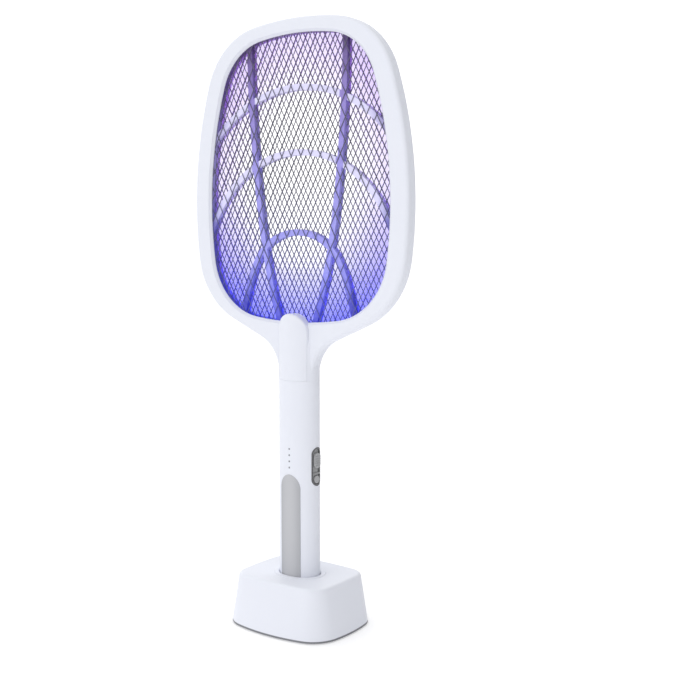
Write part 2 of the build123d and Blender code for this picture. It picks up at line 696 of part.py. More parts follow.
# ------------------------------------------------------------- switch panel

BEZEL_LOW_Z = SWITCH_CENTRE_Z - SWITCH_LENGTH
BEZEL_HIGH_Z = SWITCH_CENTRE_Z + SWITCH_LENGTH
SLOT_HALF_HEIGHT = 5.5
STEM_HALF_HEIGHT = 2.2
STEM_HALF_WIDTH = 1.1
DIVIDER_Z = 130.6

bezel_body = wall_patch(pill(0), Plane.YZ, BEZEL_PROUD, -BEZEL_FLOOR_INSET, BEZEL_LOW_Z, BEZEL_HIGH_Z)
bezel_flange = wall_patch(
    pill(BEZEL_FLANGE),
    Plane.YZ,
    -HANDLE_WALL - SEAM_GAP,
    -BEZEL_FLOOR_INSET,
    BEZEL_LOW_Z,
    BEZEL_HIGH_Z,
)
bezel_recess = wall_patch(pill(-BEZEL_RIM), Plane.YZ, 2.0, -BEZEL_RECESS, BEZEL_LOW_Z, BEZEL_HIGH_Z)
with BuildPart() as switch_bezel:
    add(bezel_body)
    add(bezel_flange)
    add(bezel_recess, mode=Mode.SUBTRACT)
    divider_x = HANDLE_HALF_WIDTH - BEZEL_FLOOR_INSET + 0.5
    with BuildSketch(Plane.YZ.offset(divider_x)):
        with Locations((0, DIVIDER_Z)):
            Rectangle(SWITCH_WIDTH - 2 * BEZEL_RIM, 1.4)
    extrude(amount=HANDLE_HALF_WIDTH - 0.6 - divider_x)
    with BuildSketch(Plane.YZ.offset(HANDLE_HALF_WIDTH / 2)):
        with Locations((0, KNOB_CENTRE_Z)):
            Rectangle(2 * (STEM_HALF_WIDTH + MOVING_CLEARANCE + 0.1), 2 * SLOT_HALF_HEIGHT)
        with Locations((0, BUTTON_CENTRE_Z)):
            Circle(BUTTON_RADIUS + MOVING_CLEARANCE)
    extrude(amount=HANDLE_HALF_WIDTH, mode=Mode.SUBTRACT)
save(switch_bezel, "switch_bezel")

KNOB_BASE_X = HANDLE_HALF_WIDTH - BEZEL_RECESS + 0.3
KNOB_HEIGHT = 1.9
STEM_INNER_X = 14.6
RIDGE_PITCH = 1.9
with BuildPart() as slide_knob:
    with BuildSketch(Plane.YZ.offset(KNOB_BASE_X)):
        with Locations((0, KNOB_CENTRE_Z)):
            RectangleRounded(KNOB_WIDTH, KNOB_LENGTH, 3.2)
    extrude(amount=KNOB_HEIGHT)
    fillet(slide_knob.faces().sort_by(Axis.X)[-1].edges(), 0.6)
    ridge_plane = Plane.XZ.offset(-KNOB_WIDTH / 2)
    with BuildSketch(ridge_plane):
        for step in range(-2, 3):
            with Locations((KNOB_BASE_X + KNOB_HEIGHT, KNOB_CENTRE_Z + step * RIDGE_PITCH)):
                Circle(0.45)
    extrude(amount=KNOB_WIDTH, mode=Mode.SUBTRACT)
    with BuildSketch(Plane.YZ.offset(STEM_INNER_X)):
        with Locations((0, KNOB_CENTRE_Z)):
            Rectangle(2 * STEM_HALF_WIDTH, 2 * STEM_HALF_HEIGHT)
    extrude(amount=KNOB_BASE_X - STEM_INNER_X)
save(slide_knob, "slide_knob")

LEVER_TIP_X = 11.4
with BuildPart() as switch_lever:
    with BuildSketch(Plane.YZ.offset(LEVER_TIP_X)):
        with Locations((0, KNOB_CENTRE_Z)):
            Rectangle(1.6, 1.8)
    extrude(amount=STEM_INNER_X - LEVER_TIP_X)
save(switch_lever, "switch_lever")

with BuildPart() as slide_switch_body:
    with BuildSketch(Plane.YZ.offset(7.0)):
        with Locations((0, KNOB_CENTRE_Z)):
            Rectangle(2 * PCB_FRONT_Y, 15)
    extrude(amount=5.4)
    with BuildSketch(Plane.YZ.offset(LEVER_TIP_X - MOVING_CLEARANCE)):
        with Locations((0, KNOB_CENTRE_Z)):
            Rectangle(2.4, 9)
    extrude(amount=2, mode=Mode.SUBTRACT)
save(slide_switch_body, "slide_switch_body")

BUTTON_OUTER_X = 18.9
BUTTON_FLANGE_X = 13.2
BUTTON_FLANGE_RADIUS = 4.2
with BuildPart() as push_button:
    with BuildSketch(Plane.YZ.offset(BUTTON_FLANGE_X)):
        with Locations((0, BUTTON_CENTRE_Z)):
            Circle(BUTTON_FLANGE_RADIUS)
    extrude(amount=0.8)
    with BuildSketch(Plane.YZ.offset(BUTTON_FLANGE_X)):
        with Locations((0, BUTTON_CENTRE_Z)):
            Circle(BUTTON_RADIUS)
    extrude(amount=BUTTON_OUTER_X - BUTTON_FLANGE_X)
    fillet(push_button.faces().sort_by(Axis.X)[-1].edges(), 0.7)
save(push_button, "push_button")

with BuildPart() as tact_switch:
    with BuildSketch(Plane.YZ.offset(7.4)):
        with Locations((0, BUTTON_CENTRE_Z)):
            Rectangle(2 * PCB_FRONT_Y, 6)
    extrude(amount=3.6)
    with BuildSketch(Plane.YZ.offset(11.0)):
        with Locations((0, BUTTON_CENTRE_Z)):
            Circle(1.4)
    extrude(amount=0.8)
save(tact_switch, "tact_switch")

# --------------------------------------------------------- handle internals

with BuildPart() as main_pcb:
    with BuildSketch(Plane.XZ.offset(-PCB_FRONT_Y - PCB_THICKNESS)):
        with Locations((0, PCB_BOTTOM_Z)):
            Rectangle(2 * PCB_HALF_WIDTH, PCB_TOP_Z - PCB_BOTTOM_Z, align=(Align.CENTER, Align.MIN))
    extrude(amount=PCB_THICKNESS)
save(main_pcb, "main_pcb")


def board_part(name, x, z, width, height, depth, edge=0.3):
    """A block-shaped component standing on the front of the main board."""
    with BuildPart() as block:
        with BuildSketch(Plane.XZ.offset(-PCB_FRONT_Y)):
            with Locations((x, z)):
                Rectangle(width, height)
        extrude(amount=depth)
        fillet(block.edges().filter_by(Axis.Y), edge)
    save(block, name)


board_part("transformer_core", 0, TRANSFORMER_Z, 14, 4, 10)
board_part("hv_capacitor", 3.5, 165, 11, 12, 6, edge=1.0)
board_part("charge_controller_chip", -5.5, 108, 5, 4, 1.5)

# The step-up transformer's coil fills both sides of its core
with BuildPart() as transformer_winding:
    with BuildSketch(Plane.XZ.offset(-PCB_FRONT_Y)):
        with Locations((0, TRANSFORMER_Z)):
            RectangleRounded(12, 16, 1.5)
            Rectangle(14.2, 4.1, mode=Mode.SUBTRACT)
    extrude(amount=9)
save(transformer_winding, "transformer_winding")

with BuildPart() as rectifier_diodes:
    with BuildSketch(Plane.XY.offset(160)):
        with Locations((-7.6, PCB_FRONT_Y - DIODE_RADIUS), (-4.4, PCB_FRONT_Y - DIODE_RADIUS)):
            Circle(DIODE_RADIUS)
    extrude(amount=5.0)
save(rectifier_diodes, "rectifier_diodes")

with BuildPart() as indicator_leds:
    with BuildSketch(Plane.XZ.offset(-PCB_FRONT_Y)):
        with Locations(*[(0, z) for z in INDICATOR_HEIGHTS]):
            Rectangle(2.0, 1.2)
    extrude(amount=LED_CHIP_HEIGHT)
save(indicator_leds, "indicator_leds")

# Four clear rods joined by a bar carry the indicator light to the front of the handle
with BuildPart() as indicator_light_pipe:
    rod_back_y = PCB_FRONT_Y - LED_CHIP_HEIGHT - PART_FIT
    with BuildSketch(Plane.XZ.offset(-rod_back_y)):
        with Locations(*[(0, z) for z in INDICATOR_HEIGHTS]):
            Circle(INDICATOR_RADIUS)
    extrude(amount=HANDLE_HALF_DEPTH - 0.05 + rod_back_y)
    with BuildSketch(Plane.XZ.offset(8.0)):
        with Locations((0, INDICATOR_HEIGHTS[0] - 1.5 * INDICATOR_PITCH)):
            Rectangle(3.0, 3 * INDICATOR_PITCH + 3)
    extrude(amount=1.2)
save(indicator_light_pipe, "indicator_light_pipe")

with BuildPart() as battery_cell:
    with BuildSketch(Plane.XY.offset(CELL_BOTTOM_Z)):
        Circle(CELL_RADIUS)
    extrude(amount=CELL_LENGTH)
    fillet(battery_cell.edges(), 0.8)
save(battery_cell, "battery_cell")

with BuildPart() as battery_tabs:
    with BuildSketch(Plane.XY.offset(CELL_BOTTOM_Z - TAB_THICKNESS)):
        Rectangle(TAB_WIDTH, TAB_LENGTH)
    extrude(amount=TAB_THICKNESS)
    with BuildSketch(Plane.XY.offset(CELL_BOTTOM_Z + CELL_LENGTH)):
        Rectangle(TAB_WIDTH, TAB_LENGTH)
    extrude(amount=TAB_THICKNESS)
save(battery_tabs, "battery_tabs")

# Two saddles behind the cell keep it central in the handle
with BuildPart() as battery_cradle:
    with BuildSketch(Plane.XY.offset(CELL_BOTTOM_Z + 12)):
        Ellipse(
            HANDLE_HALF_WIDTH - HANDLE_WALL - PART_FIT,
            HANDLE_HALF_DEPTH - HANDLE_WALL - PART_FIT,
        )
        Circle(CELL_RADIUS + PART_FIT, mode=Mode.SUBTRACT)
        with Locations((0, -HANDLE_HALF_DEPTH)):
            Rectangle(4 * HANDLE_HALF_WIDTH, 2 * HANDLE_HALF_DEPTH + 4, mode=Mode.SUBTRACT)
        Rectangle(7.6, 4 * HANDLE_HALF_DEPTH, mode=Mode.SUBTRACT)
    extrude(amount=3)
    mirror(about=Plane.XY.offset(CELL_BOTTOM_Z + CELL_LENGTH / 2))
save(battery_cradle, "battery_cradle")


def lead_pair(name, route, bend_radius):
    """Two wires on mirrored routes, one on each side of the middle."""
    one_wire = wire(route, bend_radius)
    with BuildPart() as pair:
        add(one_wire)
        mirror(about=Plane.YZ)
    save(pair, name)


STUD_TOP_Z = HANDLE_BOTTOM_Z + BOTTOM_CAP_HEIGHT + STUD_FLANGE_THICKNESS
CELL_TOP_Z = CELL_BOTTOM_Z + CELL_LENGTH + TAB_THICKNESS
PCB_BACK_Y = PCB_FRONT_Y + PCB_THICKNESS
lead_pair(
    "charge_leads",
    [
        (PIN_OFFSET_X, 0, STUD_TOP_Z),
        (PIN_OFFSET_X, 0, STUD_TOP_Z + 3.5),
        (2.6, 10.6, STUD_TOP_Z + 6.0),
        (2.6, 10.6, 95.0),
        (4.0, 4.6, 101.0),
        (4.0, PCB_BACK_Y, 101.0),
    ],
    0.35,
)
lead_pair(
    "battery_leads",
    [(2.0, 0, CELL_TOP_Z), (2.0, 0, CELL_TOP_Z + 4.2), (6.5, 1.0, 101.0), (6.5, PCB_FRONT_Y, 101.0)],
    0.5,
)
lead_pair(
    "lamp_leads",
    [
        (3.0, PCB_FRONT_Y, 193.5),
        (3.0, 0, 193.5),
        (3.0, 0, LAMP_WINDOW_Z - 4.0),
        (3.0, LAMP_BOARD_MIDDLE_Y, LAMP_WINDOW_Z + 1.0),
        (3.0, LAMP_BOARD_MIDDLE_Y, LAMP_BOARD_Z),
    ],
    1.5,
)

hv_route = [
    (-GRID_LEAD_X, 3.0, PCB_TOP_Z),
    (-GRID_LEAD_X, 3.0, PCB_TOP_Z + 9.0),
    (-GRID_LEAD_X, 0, PCB_TOP_Z + 29.0),
    (-GRID_LEAD_X, 0, GRID_LEAD_TOP_Z),
]
hv_wire = wire(hv_route, 6.0, radius=GRID_LEAD_RADIUS)
with BuildPart() as hv_lead:
    add(hv_wire)
save(hv_lead, "hv_lead")

ground_route = [
    (GRID_LEAD_X, 3.0, PCB_TOP_Z),
    (GRID_LEAD_X, LAYER_PITCH, PCB_TOP_Z + 16.0),
    (GRID_LEAD_X, LAYER_PITCH, GRID_LEAD_TOP_Z),
]
ground_wire = wire(ground_route, 6.0, radius=GRID_LEAD_RADIUS)
with BuildPart() as ground_lead:
    add(ground_wire)
save(ground_lead, "ground_lead")

# -------------------------------------------------------------- charging dock

DOCK_BOTTOM = (54.8, 45.8, 150.0, 130.0, 26.0)
DOCK_TOP = (46.5, 36.4, 330.0, 300.0, 15.0)


def dock_outline(level, inset=0.0):
    """A rounded block outline: half sizes, the bulging radii of its sides and its corner radius."""
    half_x, half_y, front_radius, side_radius, corner_radius = level
    with BuildSketch() as outline:
        with Locations((0, front_radius - half_y)):
            Circle(front_radius - inset)
        with Locations((0, half_y - front_radius)):
            Circle(front_radius - inset, mode=Mode.INTERSECT)
        for side in (-1, 1):
            with Locations((side * (half_x - side_radius), 0)):
                Circle(side_radius - inset, mode=Mode.INTERSECT)
        fillet(outline.vertices(), corner_radius - inset)
    return outline.sketch


def handle_oval(growth):
    """The handle's section grown by one distance."""
    Ellipse(HANDLE_HALF_WIDTH + growth, HANDLE_HALF_DEPTH + growth)


DOCK_BOSSES = [(x, y) for x in (-DOCK_BOSS_X, DOCK_BOSS_X) for y in (-DOCK_BOSS_Y, DOCK_BOSS_Y)]
cup_outer = SOCKET_CLEARANCE + SOCKET_WALL
collar_z = DOCK_HEIGHT - COLLAR_THICKNESS + COLLAR_PROUD

with BuildPart() as dock_block:
    with BuildSketch(Plane.XY.offset(DOCK_GAP)):
        add(dock_outline(DOCK_BOTTOM))
    with BuildSketch(Plane.XY.offset(DOCK_HEIGHT)):
        add(dock_outline(DOCK_TOP))
    loft()
    fillet(dock_block.faces().sort_by(Axis.Z)[-1].edges(), DOCK_TOP_EDGE_RADIUS)

with BuildPart() as dock_cavity:
    with BuildSketch(Plane.XY.offset(DOCK_GAP)):
        add(dock_outline(DOCK_BOTTOM, DOCK_WALL))
    with BuildSketch(Plane.XY.offset(DOCK_HEIGHT - DOCK_WALL)):
        add(dock_outline(DOCK_TOP, DOCK_WALL))
    loft()

BASE_PLATE_TOP_Z = FOOT_HEIGHT + BASE_PLATE_THICKNESS
USB_HALF_WIDTH = 3.75
USB_HEIGHT = 2.8
USB_Z = DOCK_PCB_Z + PCB_THICKNESS
USB_MOUTH_Y = 43.2

with BuildPart() as dock_shell:
    add(dock_block.part)
    add(dock_cavity.part, mode=Mode.SUBTRACT)
    with BuildSketch(Plane.XY.offset(BASE_PLATE_TOP_Z + SEAM_GAP)):
        with Locations(*DOCK_BOSSES):
            Circle(3.0)
    extrude(amount=DOCK_HEIGHT - DOCK_WALL - BASE_PLATE_TOP_Z)
    with BuildSketch(Plane.XY.offset(BASE_PLATE_TOP_Z)):
        with Locations(*DOCK_BOSSES):
            Circle(SCREW_RADIUS)
    extrude(amount=10, mode=Mode.SUBTRACT)
    with BuildSketch(Plane.XY.offset(collar_z)):
        handle_oval(COLLAR_REACH)
    extrude(amount=COLLAR_THICKNESS, mode=Mode.SUBTRACT)
    with BuildSketch(Plane.XY.offset(DOCK_HEIGHT / 2)):
        handle_oval(cup_outer + PART_FIT)
    extrude(amount=DOCK_HEIGHT, mode=Mode.SUBTRACT)
    with BuildSketch(Plane.XZ.offset(-USB_MOUTH_Y + 8)):
        with Locations((0, USB_Z + USB_HEIGHT / 2)):
            RectangleRounded(2 * USB_HALF_WIDTH + 2.0, USB_HEIGHT + 2.0, 1.6)
    extrude(amount=-20, mode=Mode.SUBTRACT)
save(dock_shell, "dock_shell")

with BuildPart() as socket_collar:
    with BuildSketch(Plane.XY.offset(collar_z)):
        handle_oval(COLLAR_REACH - PART_FIT)
    extrude(amount=COLLAR_THICKNESS)
    fillet(socket_collar.edges().group_by(Axis.Z)[-1], 0.4)
    with BuildSketch(Plane.XY.offset(collar_z)):
        handle_oval(SOCKET_CLEARANCE)
    extrude(amount=COLLAR_THICKNESS, mode=Mode.SUBTRACT)
    chamfer(socket_collar.edges().group_by(Axis.Z)[-1].sort_by(SortBy.LENGTH)[0], 0.8)
save(socket_collar, "socket_collar")

CUP_FLOOR_Z = HANDLE_BOTTOM_Z - SOCKET_FLOOR
PIN_POSITIONS = STUD_POSITIONS
with BuildPart() as socket_cup:
    with BuildSketch(Plane.XY.offset(CUP_FLOOR_Z)):
        handle_oval(cup_outer)
    extrude(amount=collar_z - CUP_FLOOR_Z)
    with BuildSketch(Plane.XY.offset(HANDLE_BOTTOM_Z)):
        handle_oval(SOCKET_CLEARANCE)
    extrude(amount=DOCK_HEIGHT, mode=Mode.SUBTRACT)
    with BuildSketch(Plane.XY.offset(CUP_FLOOR_Z)):
        with Locations(*PIN_POSITIONS):
            Circle(PIN_RADIUS + MOVING_CLEARANCE + 0.2)
    extrude(amount=SOCKET_FLOOR, mode=Mode.SUBTRACT)
save(socket_cup, "socket_cup")

with BuildPart() as dock_base_plate:
    with BuildSketch(Plane.XY.offset(FOOT_HEIGHT)):
        add(dock_outline(DOCK_BOTTOM, BASE_PLATE_INSET))
    extrude(amount=BASE_PLATE_THICKNESS)
    with BuildSketch(Plane.XY.offset(FOOT_HEIGHT)):
        with Locations(*DOCK_BOSSES):
            Circle(SCREW_RADIUS + PART_FIT)
    extrude(amount=BASE_PLATE_THICKNESS, mode=Mode.SUBTRACT)
    with BuildSketch(Plane.XY.offset(FOOT_HEIGHT)):
        with Locations(*DOCK_BOSSES):
            Circle(SCREW_HEAD_RADIUS + PART_FIT)
    extrude(amount=1.0, mode=Mode.SUBTRACT)
    with BuildSketch(Plane.XY.offset(BASE_PLATE_TOP_Z)):
        with Locations((-11, 18), (11, 18)):
            Circle(2.5)
    extrude(amount=DOCK_PCB_Z - BASE_PLATE_TOP_Z)
save(dock_base_plate, "dock_base_plate")

with BuildPart() as dock_screws:
    with BuildSketch(Plane.XY.offset(FOOT_HEIGHT)):
        with Locations(*DOCK_BOSSES):
            Circle(SCREW_HEAD_RADIUS)
    extrude(amount=1.0)
    with BuildSketch(Plane.XY.offset(FOOT_HEIGHT)):
        with Locations(*DOCK_BOSSES):
            Circle(SCREW_RADIUS - SEAM_GAP)
    extrude(amount=9.0)
save(dock_screws, "dock_screws")

FOOT_X = 34.0
FOOT_Y = 17.0
with BuildPart() as dock_feet:
    with BuildSketch(Plane.XY):
        with Locations(*[(x, y) for x in (-FOOT_X, FOOT_X) for y in (-FOOT_Y, FOOT_Y)]):
            Circle(FOOT_RADIUS)
    extrude(amount=FOOT_HEIGHT)
    fillet(dock_feet.edges().group_by(Axis.Z)[0], 0.3)
save(dock_feet, "dock_feet")

with BuildPart() as dock_pcb:
    with BuildSketch(Plane.XY.offset(DOCK_PCB_Z)):
        with Locations((0, 14)):
            Rectangle(30, 52)
    extrude(amount=PCB_THICKNESS)
save(dock_pcb, "dock_pcb")

# Charging inlet: a small metal shell on the back edge of the dock's board, with its contact tongue inside
USB_LENGTH = 5.6
with BuildPart() as usb_inlet:
    with BuildSketch(Plane.XZ.offset(-USB_MOUTH_Y)):
        with Locations((0, USB_Z + USB_HEIGHT / 2)):
            RectangleRounded(2 * USB_HALF_WIDTH, USB_HEIGHT, 0.9)
            RectangleRounded(2 * USB_HALF_WIDTH - 0.6, USB_HEIGHT - 0.6, 0.6, mode=Mode.SUBTRACT)
    extrude(amount=USB_LENGTH)
save(usb_inlet, "usb_inlet")

with BuildPart() as usb_contact_tongue:
    with BuildSketch(Plane.XZ.offset(-USB_MOUTH_Y + USB_LENGTH - 1.0)):
        with Locations((0, USB_Z + USB_HEIGHT / 2)):
            RectangleRounded(2 * USB_HALF_WIDTH - 0.8, USB_HEIGHT - 0.8, 0.5)
    extrude(amount=1.0)
    with BuildSketch(Plane.XZ.offset(-USB_MOUTH_Y + 1.0)):
        with Locations((0, USB_Z + USB_HEIGHT / 2 + 0.3)):
            Rectangle(4.6, 0.6)
    extrude(amount=USB_LENGTH - 2.0)
save(usb_contact_tongue, "usb_contact_tongue")

# Two sprung charging pins in an insulating block under the socket's floor
PIN_FLANGE_Z = 10.4
PIN_FLANGE_HEIGHT = 0.6
PIN_FLANGE_RADIUS = 1.7
BLOCK_TOP_Z = CUP_FLOOR_Z - 0.1
SPRING_SEAT_Z = USB_Z + 0.8
with BuildPart() as pin_block:
    with BuildSketch(Plane.XY.offset(USB_Z)):
        RectangleRounded(20, 8, 1.0)
    extrude(amount=BLOCK_TOP_Z - USB_Z)
    with BuildSketch(Plane.XY.offset(SPRING_SEAT_Z)):
        with Locations(*PIN_POSITIONS):
            Circle(PIN_FLANGE_RADIUS + MOVING_CLEARANCE)
    extrude(amount=PIN_FLANGE_Z + PIN_FLANGE_HEIGHT + SEAM_GAP - SPRING_SEAT_Z, mode=Mode.SUBTRACT)
    with BuildSketch(Plane.XY.offset(SPRING_SEAT_Z)):
        with Locations(*PIN_POSITIONS):
            Circle(PIN_RADIUS + MOVING_CLEARANCE)
    extrude(amount=DOCK_HEIGHT, mode=Mode.SUBTRACT)
save(pin_block, "pin_block")

SPRING_TURNS = 5
for pin_name, pin_x in (("left", -PIN_OFFSET_X), ("right", PIN_OFFSET_X)):
    with BuildPart() as contact_pin:
        with BuildSketch(Plane.XY.offset(PIN_FLANGE_Z)):
            with Locations((pin_x, 0)):
                Circle(PIN_FLANGE_RADIUS)
        extrude(amount=PIN_FLANGE_HEIGHT)
        with BuildSketch(Plane.XY.offset(PIN_FLANGE_Z)):
            with Locations((pin_x, 0)):
                Circle(PIN_RADIUS)
        extrude(amount=HANDLE_BOTTOM_Z - PIN_FLANGE_Z)
        fillet(contact_pin.edges().group_by(Axis.Z)[-1], 0.4)
    save(contact_pin, f"contact_pin_{pin_name}")

    with BuildPart() as pin_spring:
        coil_low_z = SPRING_SEAT_Z + SPRING_WIRE_RADIUS
        coil_height = PIN_FLANGE_Z - SPRING_SEAT_Z - 2 * SPRING_WIRE_RADIUS
        with BuildLine() as coil:
            Helix(
                pitch=coil_height / SPRING_TURNS,
                height=coil_height,
                radius=SPRING_RADIUS,
                center=(pin_x, 0, coil_low_z),
            )
        with BuildSketch(Plane(origin=coil.line @ 0, z_dir=coil.line % 0)):
            Circle(SPRING_WIRE_RADIUS)
        sweep()
    save(pin_spring, f"pin_spring_{pin_name}")
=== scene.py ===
import math

import bmesh
import bpy
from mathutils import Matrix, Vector


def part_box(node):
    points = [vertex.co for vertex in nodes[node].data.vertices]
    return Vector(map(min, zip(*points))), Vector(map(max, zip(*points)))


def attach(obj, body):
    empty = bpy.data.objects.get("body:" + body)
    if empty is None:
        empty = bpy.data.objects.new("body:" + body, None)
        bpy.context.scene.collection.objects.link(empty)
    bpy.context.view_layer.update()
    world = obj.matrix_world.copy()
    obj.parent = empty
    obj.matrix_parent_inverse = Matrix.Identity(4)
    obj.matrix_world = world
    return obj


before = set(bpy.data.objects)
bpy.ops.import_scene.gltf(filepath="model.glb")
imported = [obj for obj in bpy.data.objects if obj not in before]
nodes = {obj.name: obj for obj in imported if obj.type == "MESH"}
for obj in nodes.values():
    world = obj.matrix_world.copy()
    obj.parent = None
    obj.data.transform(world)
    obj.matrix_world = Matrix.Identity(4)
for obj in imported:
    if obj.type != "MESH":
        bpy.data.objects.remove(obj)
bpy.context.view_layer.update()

# ---------------------------------------------------------------- the studio
# A white table in a white room that is lit evenly, a little brighter overhead and
# behind the object and darker on its right, as a white appliance is often shown.

FLOOR_HALF = 8.0
TABLE_WHITE = (0.72, 0.72, 0.73, 1)
TABLE_ROUGHNESS = 0.9
TABLE_GLOW = 0.34

floor_sheet = bmesh.new()
bmesh.ops.create_grid(floor_sheet, x_segments=1, y_segments=1, size=FLOOR_HALF)
floor_mesh = bpy.data.meshes.new("studio_floor")
floor_sheet.to_mesh(floor_mesh)
floor_sheet.free()
studio_floor = bpy.data.objects.new("studio_floor", floor_mesh)
bpy.context.scene.collection.objects.link(studio_floor)

table_paint = bpy.data.materials.new("table_paint")
table_paint.use_nodes = True
table_shader = table_paint.node_tree.nodes["Principled BSDF"]
table_shader.inputs["Base Color"].default_value = TABLE_WHITE
table_shader.inputs["Roughness"].default_value = TABLE_ROUGHNESS
table_shader.inputs["Emission Color"].default_value = (1, 1, 1, 1)
table_shader.inputs["Emission Strength"].default_value = TABLE_GLOW
floor_mesh.materials.append(table_paint)

# How bright the room is all round, how much that leans to the left and upwards, and
# how deep the shade on one side and how strong the light on another are.
ROOM_LIGHT = 0.885
LEAN_LEFT = 0.08
LEAN_UP = 0.40
SHADE_DEPTH = 1.10
SHADE_SIDE = Vector((0.78, 0.62, 0.0))
BACK_LIGHT = 0.30
BACK_SIDE = Vector((-0.55, 0.83, 0.0))

world = bpy.data.worlds.new("studio")
world.use_nodes = True
bpy.context.scene.world = world
bpy.context.scene.view_settings.view_transform = "Standard"


class Flow:
    """One socket of a finish, with arithmetic that adds Math nodes to the finish's tree."""

    def __init__(self, tree, socket=None):
        self.tree = tree
        self.socket = socket

    def node(self, kind, settings=None, inputs=None, output=0):
        """Add a node: its settings go in first, then the values or links of its sockets."""
        made = self.tree.nodes.new("ShaderNode" + kind)
        for name, value in (settings or {}).items():
            if name == "stops":
                ramp = made.color_ramp.elements
                while len(ramp) < len(value):
                    ramp.new(1.0)
                for stop, (place, colour) in zip(ramp, value):
                    stop.position = place
                    stop.color = (*colour, 1.0)
            else:
                setattr(made, name, value)
        for name, value in (inputs or {}).items():
            if isinstance(value, Flow):
                self.tree.links.new(value.socket, made.inputs[name])
            else:
                made.inputs[name].default_value = value
        return Flow(self.tree, made.outputs[output])

    def maths(self, operation, other=0.0):
        """Add a Math node that takes this value first."""
        return self.node("Math", {"operation": operation}, {0: self, 1: other})

    def __add__(self, other):
        return self.maths("ADD", other)

    __radd__ = __add__

    def __sub__(self, other):
        return self.maths("SUBTRACT", other)

    def __rsub__(self, other):
        return self.node("Math", {"operation": "SUBTRACT"}, {0: other, 1: self})

    def __mul__(self, other):
        return self.maths("MULTIPLY", other)

    __rmul__ = __mul__

    def __truediv__(self, other):
        return self.maths("DIVIDE", other)

    def along(self, axis):
        """The x, y or z part of a place or a direction."""
        return self.node("SeparateXYZ", inputs={0: self}, output="xyz".index(axis))

    def clamped(self):
        return self.node("Clamp", inputs={"Value": self})

    def mixed(self, colour_0, colour_1):
        """Blend from one colour to another by this value."""
        sockets = {"Factor": self, 6: colour_0, 7: colour_1}
        return self.node("Mix", {"data_type": "RGBA"}, sockets, output=2)

    def ramp(self, *stops):
        """Look this value up between a ramp's stops, each a place and a colour or a grey."""
        colours = [(place, tone if isinstance(tone, tuple) else (tone,) * 3) for place, tone in stops]
        return self.node("ValToRGB", {"stops": colours}, {"Fac": self})

    def plug(self, shader, socket):
        self.tree.links.new(self.socket, shader.inputs[socket])


room = Flow(world.node_tree)
direction = room.node("TexCoord")


def towards(side):
    """How squarely a direction faces one side of the room, 0 when it faces away."""
    sockets = {0: direction, 1: side}
    facing = direction.node("VectorMath", {"operation": "DOT_PRODUCT"}, sockets, output=1)
    return facing.maths("MAXIMUM", 0.0)


shade = towards(SHADE_SIDE)
backing = towards(BACK_SIDE)
brightness = ROOM_LIGHT - LEAN_LEFT * direction.along("x") + LEAN_UP * direction.along("z")
brightness = brightness - SHADE_DEPTH * shade * shade + BACK_LIGHT * backing * backing
brightness.plug(world.node_tree.nodes["Background"], "Strength")
world.node_tree.nodes["Background"].inputs["Color"].default_value = (1.0, 1.0, 1.0, 1)

# The camera stands in front and to the right, looking slightly down on the head.
CAMERA_PLACE = (0.5489, -0.6981, 0.3268)
CAMERA_TURN = 36
CAMERA_DROP = 5.44
CAMERA_LENS = 56.46

camera_data = bpy.data.cameras.new("camera")
camera_data.sensor_width = 36
camera_data.lens = CAMERA_LENS
camera = bpy.data.objects.new("camera", camera_data)
camera.location = CAMERA_PLACE
camera.rotation_euler = (math.radians(90 - CAMERA_DROP), 0, math.radians(CAMERA_TURN))
bpy.context.scene.collection.objects.link(camera)
bpy.context.scene.camera = camera

# -------------------------------------------------------- white moulded shells
# The head frames, the lamp cover, the handle halves and the whole dock body are
# injection-moulded ABS, cool white, with a satin polish and a faint flow pattern.
# The halves are closed by screws from behind and the dock by screws from below.

ABS_WHITE = (0.795, 0.815, 0.885)
ABS_SHADE = (0.775, 0.796, 0.868)
FLOW_MARK_SCALE = 22.0
GLOSS_SWING = 0.12
GRAIN_STRENGTH = 0.15


def new_finish(name, fixed):
    """A material whose shader has these fixed values, with a flow on its tree to build from."""
    material = bpy.data.materials.new(name)
    material.use_nodes = True
    shader = material.node_tree.nodes["Principled BSDF"]
    for socket, value in fixed.items():
        shader.inputs[socket].default_value = value
    return material, Flow(material.node_tree), shader


def surface_point(flow):
    """Where a point of the piece is, in metres."""
    return flow.node("TexCoord", output=3)


def noise(point, scale, detail=2.0):
    return point.node("TexNoise", inputs={"Vector": point, "Scale": scale, "Detail": detail})


def glossed(marks, smoothest, swing, shader):
    """Let marks vary a shader's roughness upwards from its smoothest."""
    (marks * swing + smoothest).plug(shader, "Roughness")


def grained(height, strength, distance, shader):
    """Let a height stand out from the surface as a fine grain."""
    sockets = {"Strength": strength, "Distance": distance, "Height": height}
    height.node("Bump", inputs=sockets).plug(shader, "Normal")


def moulded_plastic(name, colour, shade, roughness, grain_scale=2600.0, grain=0.00003):
    """Moulded plastic or rubber: faint flow marks in its colour and gloss, and a fine grain."""
    material, flow, shader = new_finish(name, {"IOR": 1.46, "Specular IOR Level": 0.12})
    point = surface_point(flow)
    flow_marks = noise(point, FLOW_MARK_SCALE, 3.0)
    flow_marks.mixed((*shade, 1), (*colour, 1)).plug(shader, "Base Color")
    glossed(flow_marks, roughness - GLOSS_SWING / 2, GLOSS_SWING, shader)
    grained(noise(point, grain_scale), GRAIN_STRENGTH, grain, shader)
    return material


def colour_of(material):
    """The flow that gives a finish its colour, and the shader that it goes to."""
    shader = material.node_tree.nodes["Principled BSDF"]
    link = shader.inputs["Base Color"].links[0]
    return Flow(material.node_tree, link.from_socket), shader


def refinish(material, *names):
    """Give carried-over pieces their finish."""
    for name in names:
        for slot in nodes[name].material_slots:
            slot.material = material


